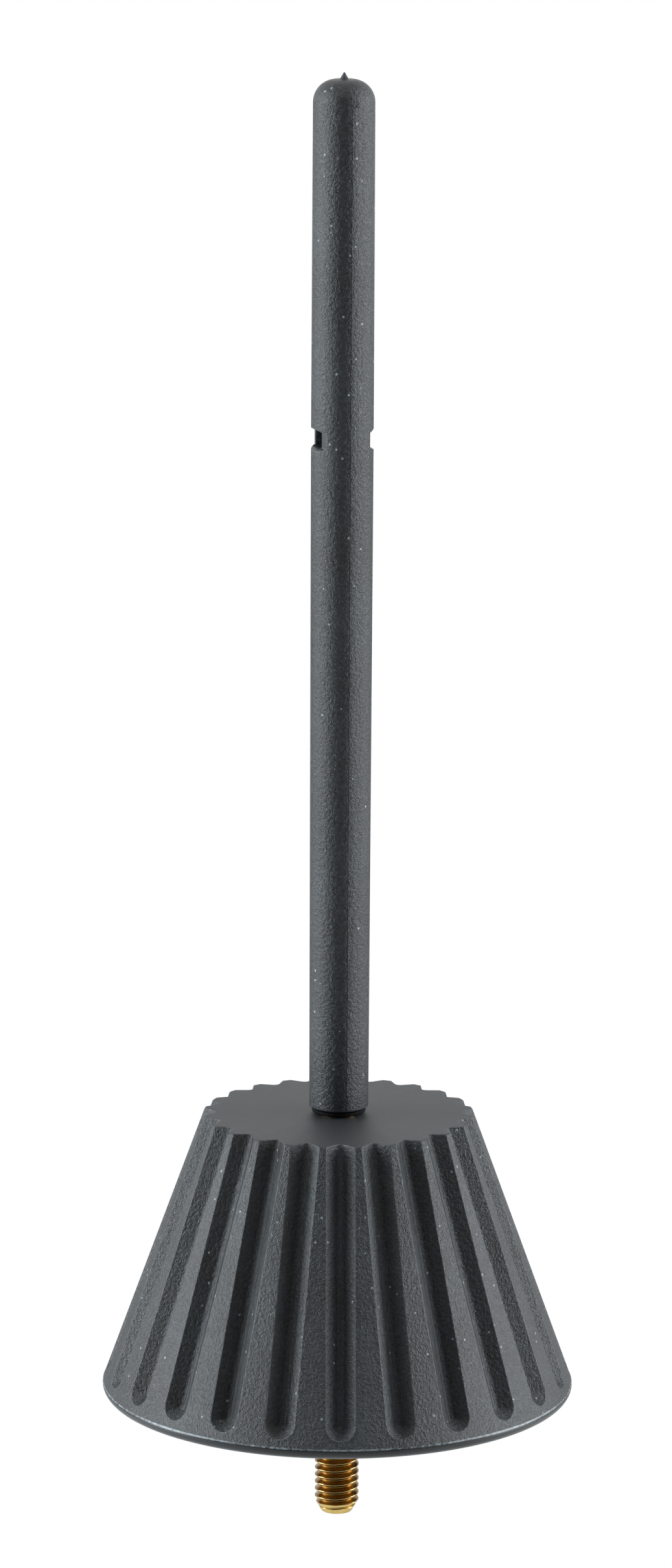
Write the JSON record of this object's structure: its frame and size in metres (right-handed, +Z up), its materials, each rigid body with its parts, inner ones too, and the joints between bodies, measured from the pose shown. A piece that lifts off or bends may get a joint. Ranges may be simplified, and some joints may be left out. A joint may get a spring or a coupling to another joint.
{
  "type": "flute peg",
  "caption": "Slender moulded rod on a fluted cone, with a threaded stud below, that screws into a stand and holds a flute upright.",
  "frame": {"origin": "centre of the cone's flat underside, on the stud's axis, where the peg seats on its stand", "axes": "+Z up along the rod, -Y towards the front"},
  "size_m": [0.1016, 0.1016, 0.313],
  "materials": {
    "cone_plastic": "spark-eroded moulded black",
    "rod_plastic": "spark-eroded moulded black",
    "stud_steel": "yellow passivated rolled thread",
    "spacer_plastic": "plain black",
    "zinc_steel": "bright zinc"
  },
  "bodies": {
    "root": {"fluted_cone": "cone_plastic", "peg_rod": "rod_plastic", "threaded_stud": "stud_steel", "rod_spacer": "spacer_plastic", "flat_washer": "zinc_steel", "lock_washer": "zinc_steel", "clamp_nut": "zinc_steel"}
  },
  "joints": []
}
